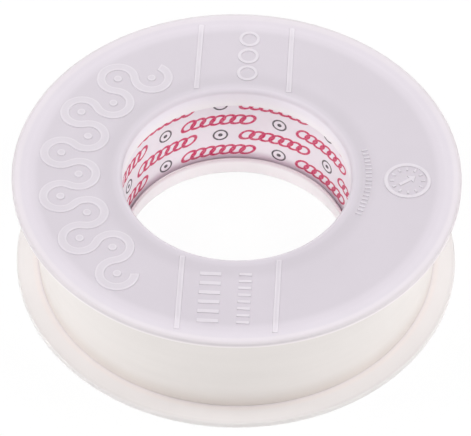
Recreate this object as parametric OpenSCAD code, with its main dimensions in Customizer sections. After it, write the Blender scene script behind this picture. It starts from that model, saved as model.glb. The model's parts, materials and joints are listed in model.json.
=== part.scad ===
// Roll of insulating tape on a paper core, between two side discs that plug into the core.
// The roll's axis is Z. It stands at z = 0 on the rim bead of its lower disc.

/* [Tape] */
// Width of the tape
tape_w = 25; // [15:1:50]
// Thickness of one turn, film and adhesive together
tape_t = 0.15; // [0.1:0.01:0.2]
// Thickness of the adhesive alone
glue_t = 0.02; // [0.01:0.01:0.04]
// Outside diameter of the wound tape
roll_d = 88; // [70:1:92]
// Length of the end that has come loose
loose_len = 24; // [10:1:40]
// Gap between the loose end and the turn under it
loose_gap = 0.45; // [0.42:0.01:0.8]
// Bare arc between the cut end and the place where the last turn starts, in degrees
bare_arc = 5; // [2:1:10]
// Where the last turn starts, in degrees round the axis
turn_start = 111; // [0:1:359]

/* [Core] */
// Wall of the paperboard tube
core_wall = 1; // [0.8:0.1:2]
// Thickness of the printed paper ply inside the tube
liner_t = 0.2; // [0.1:0.05:0.4]

/* [Side discs] */
// Outside diameter of a disc
disc_d = 98; // [95:1:110]
// Thickness of a disc
disc_t = 1.1; // [0.9:0.1:1.6]
// Gap between a disc and the edge of the tape
side_gap = 0.05; // [0.05:0.05:0.5]
// Diameter of the hole through a disc and its collar
bore_d = 50; // [45:0.1:51.5]
// Wall of the collar
collar_wall = 0.8; // [0.7:0.1:1.2]
// Depth of the collar, from the outer face of the disc
collar_depth = 5; // [3:0.1:8]
// Running clearance between the collar and the paper ply, on the radius
collar_play = 0.06; // [0.03:0.01:0.1]
// Rounding where the outer face turns into the hole
lip_r = 0.9; // [0.3:0.1:0.9]
// Width of the taper at the end of the collar
lead_in = 0.4; // [0.1:0.1:0.4]
// Length of that taper
lead_length = 2; // [0.3:0.1:2]

/* [Rim bead and ribs] */
// Width of the bead along the rim
bead_w = 2.2; // [2:0.1:2.5]
// Height of the bead above the outer face
bead_h = 0.4; // [0.3:0.05:0.5]
// Width of the slope on the inside of the bead
bead_slope = 1.4; // [0.3:0.1:1.4]
// Rounding of the rim's two edges
edge_r = 0.35; // [0.1:0.05:0.35]
// Width of a rib
rib_w = 1.3; // [0.8:0.1:2]
// Height of a rib above the outer face
rib_h = 0.25; // [0.1:0.05:0.25]
// Distance from the middle line of a pair of ribs to each rib
rib_offset = 10.3; // [4:0.1:14]
// Distance from the axis to the inner end of a rib
rib_start = 26.9; // [26.8:0.1:30]
// Distance from the axis to the outer end of a rib
rib_end = 46.3; // [36:0.1:46.3]
// Turn of the rib pattern round the axis, in degrees
rib_turn = -2.5; // [-10:0.5:10]

/* [Hidden] */
$fn = 96;

disc_r = disc_d / 2;
bore_r = bore_d / 2;
collar_r = bore_r + collar_wall;
rim_t = disc_t + bead_h;

liner_r = collar_r + collar_play;
tube_r = liner_r + liner_t + glue_t;
core_r = tube_r + core_wall;
wound_r = core_r + glue_t;

tape_z = rim_t + side_gap;
total_h = tape_w + 2 * tape_z;

// The last turn climbs by one thickness. Its first half is centred on the axis, and its second
// half is centred half a thickness to one side, so both halves are true arcs that meet smoothly.
turn_r = roll_d / 2;
turn_shift = tape_t / 2;
film_t = tape_t - glue_t;
tip_angle = 360 - bare_arc;
loose_r = turn_r - turn_shift + loose_gap;
loose_arc = loose_len / loose_r * 180 / PI;
peel_angle = tip_angle - loose_arc;
// Slit between the stuck part of the strip and its loose end, where the strip folds
fold_gap = 0.6;
fold_arc = fold_gap / loose_r * 180 / PI;
reach = 2 * turn_r;

disc_tint = [0.85, 0.82, 0.86];
tape_tint = [0.94, 0.92, 0.9];
tube_tint = [0.72, 0.61, 0.47];
paper_tint = [0.9, 0.87, 0.9];

// The loose end and the start of the last turn are the only places where the strip nears itself
gap_steps = 40;
start_arc = 60;
loose_points = [for (i = [0 : gap_steps])
    [turn_shift, 0] + around(peel_angle + fold_arc + (loose_arc - fold_arc) * i / gap_steps, loose_r)];
start_points = [for (i = [0 : gap_steps]) around(start_arc * i / gap_steps, turn_r)];
least_gap = min([for (p = loose_points, q = start_points) norm(p - q)]);
wound_length = PI * (turn_r * turn_r - wound_r * wound_r) / tape_t;
echo(least_gap_mm = least_gap, least_gap_over_the_turn_below_mm = loose_gap);
echo(wound_length_m = wound_length / 1000, turns = (turn_r - wound_r) / tape_t);

function around(angle, radius) = radius * [cos(angle), sin(angle)];

module ring(outer, inner, height) {
    linear_extrude(height) difference() {
        circle(outer);
        circle(inner);
    }
}

// Half of the plane, above or below the X axis
module half_plane(above) {
    translate([-reach, above ? 0 : -reach]) square([2 * reach, reach]);
}

// Area inside one turn of the strip whose first half has this radius
module turn_area(radius) {
    intersection() {
        circle(radius);
        half_plane(true);
    }
    intersection() {
        translate([turn_shift, 0]) circle(radius + turn_shift);
        half_plane(false);
    }
}

// Wedge from one angle to another, less than half a turn
module wedge(from, to) {
    polygon([[0, 0], around(from, reach), around((from + to) / 2, reach), around(to, reach)]);
}

// Section of a disc and its collar, with the inner face of the disc at zero height
module disc_section() {
    difference() {
        union() {
            polygon([
                [bore_r, 0],
                [disc_r - edge_r, 0],
                [disc_r - edge_r, edge_r],
                [disc_r, edge_r],
                [disc_r, rim_t - edge_r],
                [disc_r - edge_r, rim_t - edge_r],
                [disc_r - edge_r, rim_t],
                [disc_r - bead_w + bead_slope, rim_t],
                [disc_r - bead_w, disc_t],
                [bore_r, disc_t]
            ]);
            for (height = [edge_r, rim_t - edge_r])
                translate([disc_r - edge_r, height]) circle(edge_r);
            polygon([
                [bore_r, disc_t - collar_depth],
                [collar_r - lead_in, disc_t - collar_depth],
                [collar_r, disc_t - collar_depth + lead_length],
                [collar_r, disc_t / 2],
                [bore_r, disc_t / 2]
            ]);
        }
        translate([bore_r, disc_t - lip_r]) difference() {
            square(lip_r);
            translate([lip_r, 0]) circle(lip_r);
        }
    }
}

// One rib: its ends lie on two circles round the axis, and its foot sinks half way into the disc
module rib() {
    start = sqrt(rib_start * rib_start - rib_offset * rib_offset);
    end = sqrt(rib_end * rib_end - rib_offset * rib_offset);
    translate([-rib_w / 2, start, disc_t / 2]) cube([rib_w, end - start, disc_t / 2 + rib_h]);
}

// Disc moulding with its outer face up and its inner face at zero height
module disc_moulding() {
    rotate_extrude() disc_section();
    for (half_turn = [0, 180], side = [-1, 1])
        rotate([0, 0, rib_turn + half_turn]) translate([side * rib_offset, 0, 0]) rib();
}

module upper_flange() {
    color(disc_tint) translate([0, 0, total_h - rim_t]) disc_moulding();
}

module lower_flange() {
    color(disc_tint) translate([0, 0, rim_t]) rotate([180, 0, 0]) disc_moulding();
}

module core_tube() {
    color(tube_tint) translate([0, 0, tape_z]) ring(core_r, tube_r, tape_w);
}

module core_liner() {
    color(paper_tint) translate([0, 0, tape_z]) ring(liner_r + liner_t, liner_r, tape_w);
}

module tape_winding() {
    color(tape_tint) rotate([0, 0, turn_start]) translate([0, 0, tape_z])
        linear_extrude(tape_w) difference() {
            turn_area(turn_r - tape_t);
            circle(wound_r);
        }
}

module tape_outer_turn() {
    color(tape_tint) rotate([0, 0, turn_start]) translate([0, 0, tape_z])
        linear_extrude(tape_w) difference() {
            turn_area(turn_r);
            turn_area(turn_r - film_t);
            wedge(peel_angle, 360);
        }
}

module tape_free_end() {
    color(tape_tint) rotate([0, 0, turn_start]) translate([0, 0, tape_z])
        linear_extrude(tape_w) intersection() {
            translate([turn_shift, 0]) difference() {
                circle(loose_r + film_t);
                circle(loose_r);
            }
            wedge(peel_angle + fold_arc, tip_angle);
        }
}

upper_flange();
lower_flange();
core_tube();
core_liner();
tape_winding();
tape_outer_turn();
tape_free_end();
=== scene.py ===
import json
import math

import bmesh
import bpy
from mathutils import Matrix, Vector


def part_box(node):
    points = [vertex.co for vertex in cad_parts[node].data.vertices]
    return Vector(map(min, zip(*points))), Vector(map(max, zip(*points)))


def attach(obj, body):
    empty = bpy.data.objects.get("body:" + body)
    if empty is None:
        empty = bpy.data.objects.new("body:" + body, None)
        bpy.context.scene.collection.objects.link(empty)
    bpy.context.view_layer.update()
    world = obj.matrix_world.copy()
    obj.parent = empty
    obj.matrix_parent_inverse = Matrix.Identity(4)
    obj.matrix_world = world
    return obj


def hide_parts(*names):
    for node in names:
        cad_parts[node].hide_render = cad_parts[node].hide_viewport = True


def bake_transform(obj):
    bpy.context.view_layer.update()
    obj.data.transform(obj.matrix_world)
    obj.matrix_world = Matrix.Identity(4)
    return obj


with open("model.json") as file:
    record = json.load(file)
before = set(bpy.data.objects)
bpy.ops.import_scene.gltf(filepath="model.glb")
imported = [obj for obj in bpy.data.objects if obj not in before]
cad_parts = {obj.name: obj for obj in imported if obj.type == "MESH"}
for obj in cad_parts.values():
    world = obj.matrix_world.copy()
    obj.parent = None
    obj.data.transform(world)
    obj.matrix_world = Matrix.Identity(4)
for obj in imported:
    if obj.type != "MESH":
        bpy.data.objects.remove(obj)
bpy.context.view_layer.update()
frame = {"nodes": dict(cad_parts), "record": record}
mm = 0.001
zAxis = (0, 0, 1)
centre = (0, 0, 0)
fullTurn = 2 * math.pi
weldDistance = 0.001 * mm
sharpAngle = math.radians(32)
roundSteps = 6            # facets of a rounding

# Sizes that the frame gives
discLow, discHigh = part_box("upper_flange")
tapeLow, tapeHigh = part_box("tape_winding")
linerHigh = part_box("core_liner")[1]
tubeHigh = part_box("core_tube")[1]
mounts = {mount["name"]: mount for mount in frame["record"]["mounts"]}
discRadius = min(discHigh.x, -discLow.x)
totalHeight = discHigh.z
boreRadius = mounts["core_bore"]["dims"]["r_mm"] * mm

# Sizes of the solids that shapes and materials share
discHeight = 1.5 * mm     # from a disc's inner face to the crest of its rim
rollRadius = 44.0 * mm    # outside of the last turn of tape, where it starts
tapeThick = 0.15 * mm     # film and adhesive
print("frame loaded, disc radius", round(discRadius / mm, 2), "mm")


# Small helpers

def polar(angle, radius, height=0.0):
    return Vector((radius * math.cos(angle), radius * math.sin(angle), height))


def newObject(name, data):
    made = bpy.data.objects.new(name, data)
    bpy.context.scene.collection.objects.link(made)
    return made


def meshObject(name, bm):
    bmesh.ops.remove_doubles(bm, verts=bm.verts, dist=weldDistance)
    bmesh.ops.recalc_face_normals(bm, faces=bm.faces)
    mesh = bpy.data.meshes.new(name)
    bm.to_mesh(mesh)
    bm.free()
    return newObject(name, mesh)


def finishPiece(piece, material, body, replaced):
    mesh = piece.data
    mesh.shade_smooth()
    mesh.set_sharp_from_angle(angle=sharpAngle)
    weighted = piece.modifiers.new("flatFacesStayFlat", "WEIGHTED_NORMAL")
    weighted.keep_sharp = True
    mesh.materials.clear()
    mesh.materials.append(material)
    if body:
        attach(piece, body)
    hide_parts(*replaced)


def newPiece(name, bm, material, body, replaced):
    piece = meshObject(name, bm)
    finishPiece(piece, material, body, replaced)
    return piece


def outlineFace(bm, corners):
    # corners are (radius, height, rounding); the outline stands in the XZ plane
    corner = [bm.verts.new((radius, 0, height)) for radius, height, _ in corners]
    bm.faces.new(corner)
    for size in {rounding for _, _, rounding in corners if rounding}:
        picked = [vert for vert, spec in zip(corner, corners) if spec[2] == size]
        bmesh.ops.bevel(bm, geom=picked, offset=size, segments=roundSteps, profile=0.5,
                        affect="VERTICES", material=-1)


def spinOutline(bm, steps):
    bmesh.ops.delete(bm, geom=bm.faces[:], context="FACES_ONLY")
    bmesh.ops.spin(bm, geom=bm.verts[:] + bm.edges[:], cent=centre, axis=zAxis, angle=fullTurn,
                   steps=steps, use_merge=True, use_duplicate=False)


def spinStroke(bm, geom, around, angle, steps):
    made = bmesh.ops.spin(bm, geom=geom, cent=around, axis=zAxis, angle=angle, steps=steps,
                          use_duplicate=False)
    return made["geom_last"]


# Material helpers

noiseSpan = (0.3, 0.7)    # where nearly all of a noise lies


def addNode(tree, kind, settings=None, **inputs):
    # an input goes by its socket's name, or by at and its number
    node = tree.nodes.new(kind)
    for key, value in (settings or {}).items():
        setattr(node, key, value)
    for key, value in inputs.items():
        socket = node.inputs[int(key[2:])] if key.startswith("at") else node.inputs[key]
        if isinstance(value, bpy.types.NodeSocket):
            tree.links.new(value, socket)
        else:
            socket.default_value = value
    return node


def maths(tree, operation, first, second=0.0):
    node = addNode(tree, "ShaderNodeMath", {"operation": operation}, at0=first, at1=second)
    return node.outputs[0]


def length(tree, first, second):
    squares = [maths(tree, "MULTIPLY", side, side) for side in (first, second)]
    return maths(tree, "SQRT", maths(tree, "ADD", *squares))


def splitPlace(tree, place):
    return addNode(tree, "ShaderNodeSeparateXYZ", Vector=place).outputs


def distanceFromAxis(tree, place):
    flat = addNode(tree, "ShaderNodeVectorMath", {"operation": "MULTIPLY"}, at0=place,
                   at1=(1, 1, 0))
    away = addNode(tree, "ShaderNodeVectorMath", {"operation": "LENGTH"}, at0=flat.outputs[0])
    return away.outputs["Value"]


def attribute(tree, name):
    return addNode(tree, "ShaderNodeAttribute", {"attribute_name": name}).outputs["Fac"]


def mapped(tree, value, fromMin, fromMax, toMin=0.0, toMax=1.0, blend="LINEAR"):
    node = addNode(tree, "ShaderNodeMapRange", {"interpolation_type": blend}, Value=value,
                   at1=fromMin, at2=fromMax, at3=toMin, at4=toMax)
    return node.outputs["Result"]


def eased(tree, value, start, end):
    return mapped(tree, value, start, end, blend="SMOOTHSTEP")


def noise(tree, place, scale, detail):
    node = addNode(tree, "ShaderNodeTexNoise", Vector=place, Scale=scale, Detail=detail)
    return node.outputs["Fac"]


def uneven(tree, place, scale, detail, low, high):
    return mapped(tree, noise(tree, place, scale, detail), *noiseSpan, low, high)


def mixColour(tree, share, first, second, mode="MIX"):
    node = addNode(tree, "ShaderNodeMix", {"data_type": "RGBA", "blend_type": mode},
                   at0=share, at6=first, at7=second)
    return node.outputs[2]


def colourStops(ramp, stops):
    elements = ramp.color_ramp.elements
    while len(elements) < len(stops):
        elements.new(1.0)
    for element, (position, colour) in zip(elements, stops):
        element.position = position
        element.color = colour


def srgb(red, green, blue):
    # colours are noted as they look on screen, in 8-bit steps
    def linear(step):
        share = step / 255
        return share / 12.92 if share <= 0.04045 else ((share + 0.055) / 1.055) ** 2.4
    return linear(red), linear(green), linear(blue), 1.0


def startMaterial(name):
    material = bpy.data.materials.new(name)
    material.use_nodes = True
    tree = material.node_tree
    place = addNode(tree, "ShaderNodeTexCoord").outputs["Object"]
    return material, tree, tree.nodes["Principled BSDF"], place


def addBump(tree, shader, height, distance):
    bump = addNode(tree, "ShaderNodeBump", Height=height, Distance=distance)
    tree.links.new(bump.outputs["Normal"], shader.inputs["Normal"])


# Materials. A noise is noted as its scale and detail, and then its least and most value

discLook = {
    "bands": (                             # distances from the axis, and the tones there
        (boreRadius + 0.6 * mm, "lip"),
        (boreRadius + 1.4 * mm, "besideLip"),
        (tubeHigh.x + 0.6 * mm, "overCore"),
        (tubeHigh.x + 1.4 * mm, "overCore"),
        (tubeHigh.x + 4.4 * mm, "field"),
        (rollRadius + 0.8 * mm, "besideTape"),
        (rollRadius + 1.8 * mm, "overhang"),
        (discRadius - 2.2 * mm, "overhang"),
        (discRadius - 1.4 * mm, "crest"),
        (discRadius - 0.9 * mm, "crest"),
    ),
    "besideLip": srgb(205, 198, 206),
    "overCore": srgb(199, 192, 200),       # a darker ring over the core tube's end
    "field": srgb(204, 197, 205),          # where the wound tape backs the disc
    "wallFade": (0.04, 0.3),               # shares of the collar's depth
    "upper": {
        "rimLow": totalHeight - discHeight,
        "lip": srgb(211, 204, 212),
        # painted light: the collar's wall is paler than the disc's face
        "collar": srgb(248, 246, 252),
        "collarEnd": srgb(254, 253, 254),  # painted light: the collar is lighter towards its end
        "endFade": (0.3, 1.0),             # shares of the collar's depth
        "tapeFade": 1.2 * mm,              # how far inside the tape's edge its field ends
        "besideTape": srgb(213, 206, 214),
        "overhang": srgb(216, 209, 217),   # the clear rim past the tape, painted lighter for the light that comes through it
        # painted highlight along the rim's crest
        "crest": srgb(222, 215, 221),
        # painted shade along the rim's upper edge
        "rimTopPaintedShade": srgb(212, 205, 209),
        "rimFootPaintedLight": srgb(241, 235, 236),    # painted light along the rim's lower edge
        "rimFade": (0.9 * mm, 0.25 * mm),  # inwards of the rim
        "sideFade": (0.2, 0.7),            # shares of the disc's height
    },
    "lower": {                             # painted light: paler tones than the upper disc, for the white table under it
        "rimLow": 0.0,
        "lip": srgb(254, 254, 254),
        "collar": srgb(254, 254, 254),
        "collarEnd": srgb(229, 219, 223),  # painted shade: its end is darker, for the shade of the groove behind it
        "endFade": (0.7, 0.98),
        "tapeFade": 0.9 * mm,
        "besideTape": srgb(233, 226, 224),
        "overhang": srgb(231, 227, 226),
        "crest": srgb(230, 226, 225),
        "rimTopPaintedShade": srgb(223, 219, 218),
        "rimFootPaintedLight": srgb(246, 244, 243),
        "rimFade": (1.0 * mm, 0.2 * mm),
        "sideFade": (0.0, 0.5),
    },
    # painted light: shares of a mark's height, and of its tint there, most at the rounded edges
    "markLightSteps": ((0.6, 0.0), (0.9, 0.22), (0.95, 0.22), (1.0, 0.09)),
    "markPaintedLight": (1, 0.97, 1, 1),
    "cloud": (60, 3, 0.985, 1.015),
    "roughness": (900, 2, 0.4, 0.5),
    "specular": 0.35,
    "grain": (2500, 2),
    "grainDepth": 0.004 * mm,
}


def frostedPlastic(name, tones):
    look = discLook | tones
    material, tree, shader, place = startMaterial(name)
    radius = distanceFromAxis(tree, place)
    ramp = addNode(tree, "ShaderNodeValToRGB", Fac=mapped(tree, radius, boreRadius, discRadius))
    ramp.color_ramp.interpolation = "EASE"
    bands = sorted((*look["bands"], (rollRadius - look["tapeFade"], "field")))
    colourStops(ramp, [((distance - boreRadius) / (discRadius - boreRadius), look[tone])
                       for distance, tone in bands])
    # the rim's side: painted shade along its upper edge, painted light along its lower edge
    height = splitPlace(tree, place)["Z"]
    upThere = eased(tree, height, *(look["rimLow"] + share * discHeight
                                    for share in look["sideFade"]))
    side = mixColour(tree, upThere, look["rimFootPaintedLight"], look["rimTopPaintedShade"])
    atRim = mapped(tree, radius, *(discRadius - inset for inset in look["rimFade"]))
    flat = mixColour(tree, atRim, ramp.outputs["Color"], side)
    # painted light down the collar's wall; at its end, painted light on the upper disc and
    # painted shade on the lower one
    depth = attribute(tree, "depth")
    wall = mixColour(tree, eased(tree, depth, *look["wallFade"]), flat, look["collar"])
    plain = mixColour(tree, eased(tree, depth, *look["endFade"]), wall, look["collarEnd"])
    # painted light: the marks are paler, most at their rounded edges, for light through the
    # thicker plastic
    pale = addNode(tree, "ShaderNodeValToRGB", Fac=attribute(tree, "rise"))
    colourStops(pale, [(step, (share, share, share, 1)) for step, share in look["markLightSteps"]])
    marked = mixColour(tree, pale.outputs["Color"], plain, look["markPaintedLight"])
    colour = mixColour(tree, 1.0, marked, uneven(tree, place, *look["cloud"]), "MULTIPLY")
    tree.links.new(colour, shader.inputs["Base Color"])
    tree.links.new(uneven(tree, place, *look["roughness"]), shader.inputs["Roughness"])
    shader.inputs["Specular IOR Level"].default_value = look["specular"]
    addBump(tree, shader, noise(tree, place, *look["grain"]), look["grainDepth"])
    return material


tapeLook = {
    "film": srgb(229, 224, 221),
    "edgePaintedShade": srgb(221, 213, 208),    # painted shade: the film is darker and warmer along the strip's two edges
    "edgeFade": 5.0 * mm,
    "edge": srgb(216, 208, 201),
    "ringBand": (0.3, 0.5),             # shares of a turn's thickness, from its middle
    "endFacing": 0.9,                   # how upright the normal is on the winding's ends
    "streak": 9.0,                      # how far the cloud is drawn out along the strip
    "cloud": (50, 3, 0.985, 1.01),
    "roughness": (400, 2, 0.33, 0.43),
    "specular": 0.4,
    "grain": (700, 2),
    "grainDepth": 0.003 * mm,
}


def tapeFilm():
    look = tapeLook
    material, tree, shader, place = startMaterial("tapeFilm")
    split = splitPlace(tree, place)
    # on the ends of the winding every turn shows as a fine ring
    turns = maths(tree, "DIVIDE", distanceFromAxis(tree, place), tapeThick)
    fromTurn = maths(tree, "SUBTRACT", maths(tree, "FRACT", turns), 0.5)
    ring = mapped(tree, maths(tree, "ABSOLUTE", fromTurn), *look["ringBand"])
    facing = addNode(tree, "ShaderNodeNewGeometry").outputs["Normal"]
    upwards = maths(tree, "ABSOLUTE", splitPlace(tree, facing)["Z"])
    onEnd = maths(tree, "GREATER_THAN", upwards, look["endFacing"])
    endRing = maths(tree, "MULTIPLY", ring, onEnd)
    streaks = addNode(tree, "ShaderNodeCombineXYZ", Y=split["X"], Z=split["Y"],
                      X=maths(tree, "MULTIPLY", split["Z"], look["streak"]))
    cloud = uneven(tree, streaks.outputs[0], *look["cloud"])
    # painted shade towards both edges of the strip
    fromMiddle = maths(tree, "ABSOLUTE", maths(tree, "SUBTRACT", split["Z"], totalHeight / 2))
    halfWidth = (tapeHigh.z - tapeLow.z) / 2
    margin = eased(tree, fromMiddle, halfWidth - look["edgeFade"], halfWidth)
    tint = mixColour(tree, margin, look["film"], look["edgePaintedShade"])
    film = mixColour(tree, 1.0, tint, cloud, "MULTIPLY")
    colour = mixColour(tree, endRing, film, look["edge"])
    tree.links.new(colour, shader.inputs["Base Color"])
    tree.links.new(uneven(tree, place, *look["roughness"]), shader.inputs["Roughness"])
    shader.inputs["Specular IOR Level"].default_value = look["specular"]
    grain = maths(tree, "ADD", noise(tree, place, *look["grain"]), endRing)
    addBump(tree, shader, grain, look["grainDepth"])
    return material


boardLook = {
    "light": srgb(196, 170, 135),
    "dark": srgb(168, 140, 105),
    "stretch": (1, 1, 6),
    "fibre": (900, 6),
    "fibreSpan": (0.35, 0.65),
    "fibreDepth": 0.02 * mm,
    "roughness": 0.85,
}


def kraftBoard():
    look = boardLook
    material, tree, shader, place = startMaterial("kraftBoard")
    fibres = addNode(tree, "ShaderNodeMapping", Vector=place, Scale=look["stretch"]).outputs[0]
    speck = noise(tree, fibres, *look["fibre"])
    share = mapped(tree, speck, *look["fibreSpan"])
    colour = mixColour(tree, share, look["light"], look["dark"])
    tree.links.new(colour, shader.inputs["Base Color"])
    shader.inputs["Roughness"].default_value = look["roughness"]
    addBump(tree, shader, speck, look["fibreDepth"])
    return material


linerLook = {
    "paper": srgb(246, 242, 247),
    "crimson": srgb(206, 34, 92),
    "black": srgb(56, 48, 56),
    "rowPitch": 4.9 * mm,
    "rowStart": 0.35 * mm,
    "motifs": 6,                          # repeats round the bore
    "wholeTurns": 100.0,                  # keeps the count of repeats above zero
    "chain": (1.0 * mm, 17.2 * mm),       # part of a repeat where loops of the chain are centred
    "loopPitch": 2.2 * mm,
    "loopSize": (1.4 * mm, 1.35 * mm),    # half width and half height
    "loopSlant": 0.5,
    "loopStroke": 0.33 * mm,              # strokes are half widths
    "ringPlace": 22.5 * mm,
    "ringRadius": 1.5 * mm,
    "ringStroke": 0.2 * mm,
    "dotRadius": 0.5 * mm,
    "edgeBlur": 0.08 * mm,
    "foot": srgb(221, 207, 214),          # painted shade: the paper darkens towards the lower collar
    "footFade": (5.6 * mm, 7.8 * mm),
    "cloud": (300, 4, 0.98, 1.01),
    "inkGrain": (2600, 3),
    "inkWear": (0.35, 0.6, 0.82, 1.0),    # part of the grain, and the ink's strength there
    "roughness": 0.6,
    "specular": 0.3,
    "grain": (1800, 4),
    "grainDepth": 0.006 * mm,
}


def inkStroke(tree, away, halfWidth):
    blur = linerLook["edgeBlur"]
    away = maths(tree, "ABSOLUTE", away)
    return mapped(tree, away, halfWidth - blur, halfWidth + blur, 1.0, 0.0)


def loopChain(tree, across, high):
    # two rows of slanted ovals that interlock, on the first part of each repeat
    look = linerLook
    wide, tall = look["loopSize"]
    first, last = look["chain"]
    pitch = 2 * look["loopPitch"]
    leaning = maths(tree, "SUBTRACT", across, maths(tree, "MULTIPLY", high, look["loopSlant"]))
    ovals = []
    for step in (0.0, 0.5):
        count = maths(tree, "ADD", maths(tree, "DIVIDE", leaning, pitch), step)
        middle = maths(tree, "ADD", maths(tree, "FLOOR", count), 0.5 - step)
        middle = maths(tree, "MULTIPLY", middle, pitch)
        side = maths(tree, "DIVIDE", maths(tree, "SUBTRACT", leaning, middle), wide)
        reach = length(tree, side, maths(tree, "DIVIDE", high, tall))
        away = maths(tree, "MULTIPLY", maths(tree, "SUBTRACT", reach, 1.0), wide)
        within = maths(tree, "MULTIPLY", maths(tree, "GREATER_THAN", middle, first),
                       maths(tree, "LESS_THAN", middle, last))
        oval = inkStroke(tree, away, look["loopStroke"])
        ovals.append(maths(tree, "MULTIPLY", oval, within))
    return maths(tree, "MAXIMUM", *ovals)


def dottedRing(tree, across, high):
    look = linerLook
    reach = length(tree, maths(tree, "SUBTRACT", across, look["ringPlace"]), high)
    away = maths(tree, "SUBTRACT", reach, look["ringRadius"])
    return maths(tree, "MAXIMUM", inkStroke(tree, away, look["ringStroke"]),
                 inkStroke(tree, reach, look["dotRadius"]))


def printedPaper():
    look = linerLook
    material, tree, shader, place = startMaterial("printedPaper")
    split = splitPlace(tree, place)
    # place within a row of the print, and within a repeat along it
    row = maths(tree, "DIVIDE", maths(tree, "SUBTRACT", split["Z"], look["rowStart"]),
                look["rowPitch"])
    fromRow = maths(tree, "SUBTRACT", maths(tree, "FRACT", row), 0.5)
    high = maths(tree, "MULTIPLY", fromRow, look["rowPitch"])
    angle = maths(tree, "ARCTAN2", split["X"], split["Y"])
    turn = maths(tree, "MULTIPLY", angle, look["motifs"] / fullTurn)
    # odd rows start half a repeat further on
    odd = maths(tree, "FLOORED_MODULO", maths(tree, "FLOOR", row), 2.0)
    shifted = maths(tree, "ADD", turn, maths(tree, "MULTIPLY", odd, 0.5))
    along = maths(tree, "FRACT", maths(tree, "ADD", shifted, look["wholeTurns"]))
    across = maths(tree, "MULTIPLY", along, fullTurn * boreRadius / look["motifs"])

    cloud = uneven(tree, place, *look["cloud"])
    colour = mixColour(tree, 1.0, look["paper"], cloud, "MULTIPLY")
    wear = mapped(tree, noise(tree, place, *look["inkGrain"]), *look["inkWear"])
    for motif, ink in ((loopChain, "crimson"), (dottedRing, "black")):
        share = maths(tree, "MULTIPLY", motif(tree, across, high), wear)
        colour = mixColour(tree, share, colour, look[ink])
    # painted shade at the paper's foot
    clear = eased(tree, split["Z"], *look["footFade"])
    shade = mixColour(tree, clear, look["foot"], (1, 1, 1, 1))
    colour = mixColour(tree, 1.0, colour, shade, "MULTIPLY")
    tree.links.new(colour, shader.inputs["Base Color"])
    shader.inputs["Roughness"].default_value = look["roughness"]
    shader.inputs["Specular IOR Level"].default_value = look["specular"]
    addBump(tree, shader, noise(tree, place, *look["grain"]), look["grainDepth"])
    return material


upperMaterial = frostedPlastic("upperPlastic", discLook["upper"])
# the lower disc's copy of the plastic is painted lighter, for light from the table under it
lowerMaterial = frostedPlastic("lowerPlastic", discLook["lower"])
tapeMaterial = tapeFilm()
boardMaterial = kraftBoard()
paperMaterial = printedPaper()
print("materials ready")


# Side discs

disc = {
    "thick": 1.1 * mm,
    "collarWall": 0.8 * mm,
    "collarDepth": 5.0 * mm,
    "lip": 0.9 * mm,
    "leadIn": 0.4 * mm,
    "leadLength": 2.0 * mm,
    "beadWidth": 2.2 * mm,
    "beadHeight": 0.4 * mm,
    "beadSlope": 1.4 * mm,
    "beadFoot": 1.0 * mm,      # roundings at the foot and the top of the bead's slope
    "beadTop": 0.4 * mm,
    "edge": 0.35 * mm,         # at the rim's edges
    "root": 0.1 * mm,          # and along the collar, from the disc to its end
    "leadRound": 0.3 * mm,
    "endRound": 0.15 * mm,
    "steps": 180,
}

relief = {
    "height": 0.25 * mm,
    "fineHeight": 0.23 * mm,   # the tops of the fine marks keep the painted light of an edge
    "sink": 0.3 * mm,
    "boldSlope": 0.5 * mm,     # width of the rounding along a mark
    "fineSlope": 0.2 * mm,
    # shares of that width and of the height: a steep wall, then a rounding towards the flat top
    "profile": ((0.08, 0.6), (0.2, 0.3), (0.72, 0.1)),
    "turn": math.radians(-2.5),
    "ribs": {
        "width": 1.3 * mm,
        "offset": 10.3 * mm,
        "start": 26.9 * mm,
        "end": 46.3 * mm,
        "margin": 0.05 * mm,   # no mark lies further out than this past the ribs
    },
    "wave": {
        "radii": (34.4 * mm, 38.8 * mm),    # circles that its arcs are centred on
        "from": math.radians(124),
        "pitch": math.radians(9.6),
        "arcs": 12,
        "stroke": 2.1 * mm,
        "dotRadius": 1.0 * mm,
        "steps": 20,
    },
    "dial": {
        "angle": math.radians(-3),
        "distance": 37.2 * mm,
        "radius": 4.7 * mm,
        "stroke": 0.9 * mm,
        "steps": 48,
        "ticks": 12,
        "tickRadius": 3.4 * mm,
        "tick": (0.9 * mm, 0.5 * mm),
        # half length, start and half width of the head, half width of the shaft, in millimetres
        "pointer": (2.2, 0.7, 1.2, 0.4),
        "pointing": math.radians(35),
    },
    "ticks": {
        "count": 18,
        "from": math.radians(-24),
        "to": math.radians(14),
        "distance": 28.8 * mm,
        "size": (1.4 * mm, 0.5 * mm),
    },
    # count, place to the side, first distance and pitch in millimetres, then
    # the length and width of a bar, or the radius and stroke of a ring
    "bars": (
        (6, 4.0, 29.6, 2.6, (4.6 * mm, 1.0 * mm)),
        (8, -3.4, 29.4, 1.9, (2.8 * mm, 0.75 * mm)),
    ),
    "rings": (3, 0.8, 30.4, 5.4, (2.0 * mm, 0.8 * mm)),
    "ringSteps": 32,
}


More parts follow.
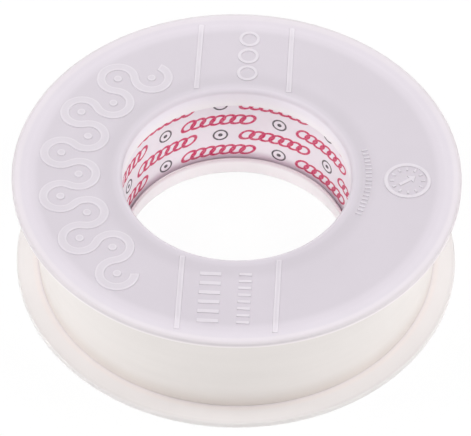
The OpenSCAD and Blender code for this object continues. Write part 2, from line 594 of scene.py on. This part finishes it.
def discBody():
    bm = bmesh.new()
    collarRadius = boreRadius + disc["collarWall"]
    crestStart = discRadius - disc["beadWidth"] + disc["beadSlope"]
    outlineFace(bm, [
        (boreRadius, -disc["collarDepth"], disc["endRound"]),
        (boreRadius, 0, disc["lip"]),
        (discRadius - disc["beadWidth"], 0, disc["beadFoot"]),
        (crestStart, disc["beadHeight"], disc["beadTop"]),
        (discRadius, disc["beadHeight"], disc["edge"]),
        (discRadius, -disc["thick"], disc["edge"]),
        (collarRadius, -disc["thick"], disc["root"]),
        (collarRadius, -disc["collarDepth"] + disc["leadLength"], disc["leadRound"]),
        (collarRadius - disc["leadIn"], -disc["collarDepth"], disc["endRound"]),
    ])
    spinOutline(bm, disc["steps"])
    return bm


def flatStroke(bm, start, width, direction):
    # the edge across a stroke, square to its direction
    across = Vector((-direction.y, direction.x, 0)) * width / 2
    ends = [bm.verts.new(start - across), bm.verts.new(start + across)]
    return ends + [bm.edges.new(ends)]


def bar(bm, middle, size, turn):
    made = bmesh.ops.create_grid(bm, x_segments=1, y_segments=1, size=0.5)
    place = (Matrix.Translation(middle) @ Matrix.Rotation(turn, 4, "Z")
             @ Matrix.Diagonal((size[0], size[1], 1, 1)))
    bmesh.ops.transform(bm, matrix=place, verts=made["verts"])


def ringMark(bm, middle, radius, stroke, steps):
    geom = flatStroke(bm, middle + Vector((radius, 0, 0)), stroke, Vector((0, 1, 0)))
    bmesh.ops.spin(bm, geom=geom, cent=middle, axis=zAxis, angle=fullTurn, steps=steps,
                   use_merge=True, use_duplicate=False)


def ribRelief(bm):
    ribs = relief["ribs"]
    start, stop = (math.sqrt(ribs[end] ** 2 - ribs["offset"] ** 2) for end in ("start", "end"))
    for halfTurn in (0, math.pi):
        turn = relief["turn"] + halfTurn
        for side in (-1, 1):
            middle = Vector((side * ribs["offset"], (start + stop) / 2, 0))
            bar(bm, Matrix.Rotation(turn, 4, "Z") @ middle, (ribs["width"], stop - start), turn)


def waveRelief(bm):
    wave = relief["wave"]
    spots = [polar(wave["from"] + wave["pitch"] * index, wave["radii"][index % 2])
             for index in range(-1, wave["arcs"] + 1)]
    entry = (spots[0] + spots[1]) / 2
    run = spots[1] - spots[0]
    sign = 1 if spots[1].length > spots[0].length else -1
    heading = Vector((-run.y, run.x, 0)).normalized() * sign
    geom = flatStroke(bm, entry, wave["stroke"], heading)
    for before, here, after in zip(spots, spots[1:], spots[2:]):
        outward = here.length > (before.length + after.length) / 2
        startDirection = math.atan2(before.y - here.y, before.x - here.x)
        endDirection = math.atan2(after.y - here.y, after.x - here.x)
        sweep = (endDirection - startDirection) % fullTurn
        angle = sweep if outward else sweep - fullTurn
        geom = spinStroke(bm, geom, here, angle, wave["steps"])
        bmesh.ops.create_circle(bm, cap_ends=True, segments=wave["steps"],
                                radius=wave["dotRadius"], matrix=Matrix.Translation(here))


def panelPlaces(place, count, side, first, pitch):
    for index in range(count):
        yield place @ Vector((side * mm, (first + pitch * index) * mm, 0))


def panelRelief(bm):
    # plain scale marks in the near panel, rings in the far one
    near = Matrix.Rotation(relief["turn"] + math.pi, 4, "Z")
    for *row, size in relief["bars"]:
        for middle in panelPlaces(near, *row):
            bar(bm, middle, size, relief["turn"])
    far = Matrix.Rotation(relief["turn"], 4, "Z")
    *row, size = relief["rings"]
    for middle in panelPlaces(far, *row):
        ringMark(bm, middle, *size, relief["ringSteps"])


def dialRelief(bm):
    # moulder's date dial: a ring with ticks and a pointer
    dial = relief["dial"]
    middle = polar(dial["angle"], dial["distance"])
    ringMark(bm, middle, dial["radius"], dial["stroke"], dial["steps"])
    for index in range(dial["ticks"]):
        turn = fullTurn * index / dial["ticks"]
        bar(bm, middle + polar(turn, dial["tickRadius"]), dial["tick"], turn)
    half, neck, head, shaft = dial["pointer"]
    outline = [(-half, -shaft), (neck, -shaft), (neck, -head), (half, 0),
               (neck, head), (neck, shaft), (-half, shaft)]
    corner = [bm.verts.new((along * mm, across * mm, 0)) for along, across in outline]
    bm.faces.new(corner)
    place = Matrix.Translation(middle) @ Matrix.Rotation(dial["pointing"], 4, "Z")
    bmesh.ops.transform(bm, matrix=place, verts=corner)


def tickRelief(bm):
    ticks = relief["ticks"]
    for index in range(ticks["count"]):
        turn = ticks["from"] + (ticks["to"] - ticks["from"]) * index / (ticks["count"] - 1)
        bar(bm, polar(turn, ticks["distance"]), ticks["size"], turn)


def raisedMarks(makers, slope, height):
    bm = bmesh.new()
    for maker in makers:
        maker(bm)
    bmesh.ops.remove_doubles(bm, verts=bm.verts, dist=weldDistance)
    for face in bm.faces:
        face.normal_update()
        if face.normal.z < 0:
            face.normal_flip()
    top = bm.faces[:]
    bmesh.ops.solidify(bm, geom=top, thickness=relief["sink"])
    for inward, upward in relief["profile"]:
        bmesh.ops.inset_region(bm, faces=top, thickness=slope * inward, depth=height * upward,
                               use_boundary=True, use_even_offset=True)
    return bm


def reliefBody():
    whole = bmesh.new()
    for bm in (raisedMarks((ribRelief, waveRelief), relief["boldSlope"], relief["height"]),
               raisedMarks((panelRelief, dialRelief, tickRelief), relief["fineSlope"],
                           relief["fineHeight"])):
        holder = bpy.data.meshes.new("marks")
        bm.to_mesh(holder)
        bm.free()
        whole.from_mesh(holder)
        bpy.data.meshes.remove(holder)
    return whole


def discMoulding():
    # one moulding with its outer face at zero height
    body = meshObject("discBlank", discBody())
    marks = meshObject("discMarks", reliefBody())
    union = body.modifiers.new("joinMarks", "BOOLEAN")
    union.operation = "UNION"
    union.solver = "EXACT"
    union.object = marks
    evaluated = body.evaluated_get(bpy.context.evaluated_depsgraph_get())
    joined = bpy.data.meshes.new_from_object(evaluated)
    # height of the marks and depth of the collar, as shares for the material
    markReach = relief["ribs"]["end"] + relief["ribs"]["margin"]
    collarReach = boreRadius + disc["collarWall"]
    for name, scale, reach in (("rise", relief["height"], markReach),
                               ("depth", -disc["collarDepth"], collarReach)):
        shares = [max(0.0, vert.co.z / scale) if vert.co.xy.length <= reach else 0.0
                  for vert in joined.vertices]
        joined.attributes.new(name, "FLOAT", "POINT").data.foreach_set("value", shares)
    bpy.data.objects.remove(body)
    bpy.data.objects.remove(marks)
    return joined


moulding = discMoulding()
faceUp = Matrix.Translation((0, 0, totalHeight - disc["beadHeight"]))
turnedOver = Matrix.Translation((0, 0, disc["beadHeight"])) @ Matrix.Rotation(math.pi, 4, "X")
for name, node, body, place, material in (
        ("upperDisc", "upper_flange", "upper_disc", faceUp, upperMaterial),
        ("lowerDisc", "lower_flange", "lower_disc", turnedOver, lowerMaterial)):
    mesh = moulding.copy()
    mesh.transform(place)
    finishPiece(newObject(name, mesh), material, body, [node])
print("side discs ready,", len(moulding.polygons), "faces each")


# Core

core = {"linerThick": 0.2 * mm, "steps": 160}


def coreLiner():
    bm = bmesh.new()
    inner, outer = linerHigh.x - core["linerThick"], linerHigh.x
    outlineFace(bm, [(inner, tapeLow.z, 0), (outer, tapeLow.z, 0),
                     (outer, tapeHigh.z, 0), (inner, tapeHigh.z, 0)])
    spinOutline(bm, core["steps"])
    newPiece("coreLiner", bm, paperMaterial, "roll", ["core_liner"])


coreLiner()
tube = frame["nodes"]["core_tube"]
tube.data.materials.clear()
tube.data.materials.append(boardMaterial)
print("core ready")


# Tape

tape = {
    "film": 0.13 * mm,
    "wound": 27.1 * mm,                # inside of the winding
    "start": math.radians(111),        # where the last turn starts
    "looseArc": math.radians(30.99),
    "bareArc": math.radians(5),        # between the cut end and that start
    "lift": 0.4 * mm,                  # of the loose end
    "overlap": math.radians(4),        # of the loose end over the last turn
    "rise": (0.5, 1.5),                # where the lift begins and over how much, in overlaps
    "clear": 0.2,                      # share of the film that the overlap stands out by
    "stepArc": math.radians(0.3),      # slope of the step where the winding ends
    "steps": 96,                       # for half a turn
    "endSteps": 48,
}
halfShift = tapeThick / 2
shiftedCentre = polar(tape["start"], halfShift)
peelAngle = fullTurn - tape["bareArc"] - tape["looseArc"]


def upright(bm, angle, radius, around=Vector(centre)):
    ends = [bm.verts.new(around + polar(angle, radius, height))
            for height in (tapeLow.z, tapeHigh.z)]
    return ends + [bm.edges.new(ends)]


def spiralSpin(bm, geom, until):
    # a first half round the axis, then the rest round a centre that is half a thickness away
    geom = spinStroke(bm, geom, centre, math.pi, tape["steps"])
    rest = until - math.pi
    return spinStroke(bm, geom, shiftedCentre, rest, round(tape["steps"] * rest / math.pi))


def thicken(bm):
    # the faces turn outwards first, and the film grows inwards from them
    for face in bm.faces:
        face.normal_update()
        if face.normal.dot(face.calc_center_median().xy.to_3d()) < 0:
            face.normal_flip()
    bmesh.ops.solidify(bm, geom=bm.faces[:], thickness=tape["film"])


def tapeWinding():
    bm = bmesh.new()
    inner, outer = tape["wound"], rollRadius - tapeThick
    corner = [bm.verts.new(polar(tape["start"], radius, height)) for radius, height in (
        (inner, tapeLow.z), (outer, tapeLow.z), (outer, tapeHigh.z), (inner, tapeHigh.z))]
    section = [bm.edges.new((corner[index - 1], corner[index])) for index in range(4)]
    last = spiralSpin(bm, corner + section, fullTurn - tape["stepArc"])
    lastSection = [part for part in last if isinstance(part, bmesh.types.BMEdge)]
    bmesh.ops.bridge_loops(bm, edges=section + lastSection)    # the step of one thickness
    newPiece("tapeWinding", bm, tapeMaterial, "roll", ["tape_winding"])


def tapeOuterTurn():
    bm = bmesh.new()
    spiralSpin(bm, upright(bm, tape["start"], rollRadius), peelAngle)
    thicken(bm)
    newPiece("tapeOuterTurn", bm, tapeMaterial, "roll", ["tape_outer_turn"])


def tapeFreeEnd():
    bm = bmesh.new()
    begin = tape["start"] + peelAngle - tape["overlap"]
    sweep = tape["overlap"] + tape["looseArc"]
    geom = upright(bm, begin, rollRadius + halfShift, shiftedCentre)
    spinStroke(bm, geom, shiftedCentre, sweep, tape["endSteps"])
    # the strip leaves the roll at the peel line and rises to its clearance
    riseFrom, riseOver = (share * tape["overlap"] for share in tape["rise"])
    for vert in bm.verts:
        flat = (vert.co - shiftedCentre).xy.to_3d()
        gone = (math.atan2(flat.y, flat.x) - begin) % fullTurn
        rise = min(1.0, max(0.0, (gone - riseFrom) / riseOver))
        smooth = rise * rise * (3 - 2 * rise)
        vert.co += flat.normalized() * (tape["film"] * tape["clear"] + tape["lift"] * smooth)
    thicken(bm)
    piece = newPiece("tapeFreeEnd", bm, tapeMaterial, None, ["tape_free_end"])
    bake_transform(piece)


tapeWinding()
tapeOuterTurn()
tapeFreeEnd()
print("tape ready")


# Studio

studio = {
    "floor": srgb(253, 253, 253),
    "floorSize": 3.0,
    "floorDrop": 0.02 * mm,
    "floorGlow": 0.94,
    "floorRoughness": 0.9,
    "floorSpecular": 0.1,
    "worldLight": 0.06,
    "boxes": {                        # watts, edge length, place
        "front": (10.0, 0.8, (0.0, -1.21, 0.9)),
        "back": (1.0, 0.4, (0.0, 0.54, 0.27)),
        "right": (5.3, 0.5, (0.68, 0.0, 0.95)),
        "left": (5.3, 0.5, (-0.68, 0.0, 0.95)),
        "lowRight": (1.0, 0.3, (0.55, 0.05, 0.12)),
        "lowLeft": (1.0, 0.3, (-0.55, 0.05, 0.12)),
    },
}


def whiteForCamera(tree):
    path = addNode(tree, "ShaderNodeLightPath")
    seen = maths(tree, "MAXIMUM", path.outputs["Is Camera Ray"], path.outputs["Is Glossy Ray"])
    return maths(tree, "MAXIMUM", seen, path.outputs["Is Transmission Ray"])


def makeWorld():
    world = bpy.data.worlds.new("studio")
    bpy.context.scene.world = world
    world.use_nodes = True
    tree = world.node_tree
    background = tree.nodes["Background"]
    background.inputs["Color"].default_value = (1, 1, 1, 1)
    level = mapped(tree, whiteForCamera(tree), 0.0, 1.0, studio["worldLight"], 1.0)
    tree.links.new(level, background.inputs["Strength"])


def softBox(name, energy, size, place):
    light = bpy.data.lights.new(name, "AREA")
    light.energy = energy
    light.size = size
    lamp = newObject(name, light)
    lamp.location = place
    aim = Vector((0, 0, totalHeight / 2)) - lamp.location
    lamp.rotation_euler = aim.to_track_quat("-Z", "Y").to_euler()


def makeFloor():
    bm = bmesh.new()
    bmesh.ops.create_grid(bm, x_segments=1, y_segments=1, size=studio["floorSize"])
    mesh = bpy.data.meshes.new("floor")
    bm.to_mesh(mesh)
    bm.free()
    floor = newObject("floor", mesh)
    floor.location.z = -studio["floorDrop"]
    material, tree, shader, _ = startMaterial("paleFloor")
    shader.inputs["Base Color"].default_value = studio["floor"]
    shader.inputs["Roughness"].default_value = studio["floorRoughness"]
    shader.inputs["Specular IOR Level"].default_value = studio["floorSpecular"]
    glow = addNode(tree, "ShaderNodeEmission", Strength=1.0)
    share = maths(tree, "MULTIPLY", whiteForCamera(tree), studio["floorGlow"])
    mixed = addNode(tree, "ShaderNodeMixShader", at0=share, at1=shader.outputs[0],
                    at2=glow.outputs[0])
    tree.links.new(mixed.outputs[0], tree.nodes["Material Output"].inputs["Surface"])
    mesh.materials.append(material)


photoCamera = {
    "lens": 252.64,               # in millimetres, like the sensor's width
    "sensor": 36,
    "clipStart": 10 * mm,
    "distance": 719.7 * mm,
    "elevation": math.radians(47.95),
    "roll": math.radians(-0.59),
    "aimDrop": 10.16 * mm,        # the picture's middle lies this far below the disc's centre
    "aimLeft": 0.17 * mm,         # and this far to the left of it
}


def makeCamera():
    look = photoCamera
    rise, tilt = look["elevation"], look["roll"]
    right = Vector((1, 0, 0))
    up = Vector((0, math.sin(rise), math.cos(rise)))
    back = Vector((0, -math.cos(rise), math.sin(rise)))
    aim = Vector((0, 0, totalHeight)) - up * look["aimDrop"] - right * look["aimLeft"]
    rightTilted = right * math.cos(tilt) - up * math.sin(tilt)
    upTilted = right * math.sin(tilt) + up * math.cos(tilt)
    spot = aim + back * look["distance"]
    camera = newObject("photoCamera", bpy.data.cameras.new("photoCamera"))
    camera.data.lens = look["lens"]
    camera.data.sensor_width = look["sensor"]
    camera.data.clip_start = look["clipStart"]
    axes = Matrix((rightTilted, upTilted, back)).transposed()
    camera.matrix_world = Matrix.Translation(spot) @ axes.to_4x4()
    bpy.context.scene.camera = camera


bpy.context.scene.view_settings.view_transform = "Standard"
makeWorld()
for name, box in studio["boxes"].items():
    softBox(name + "Box", *box)
makeFloor()
makeCamera()
print("studio ready")
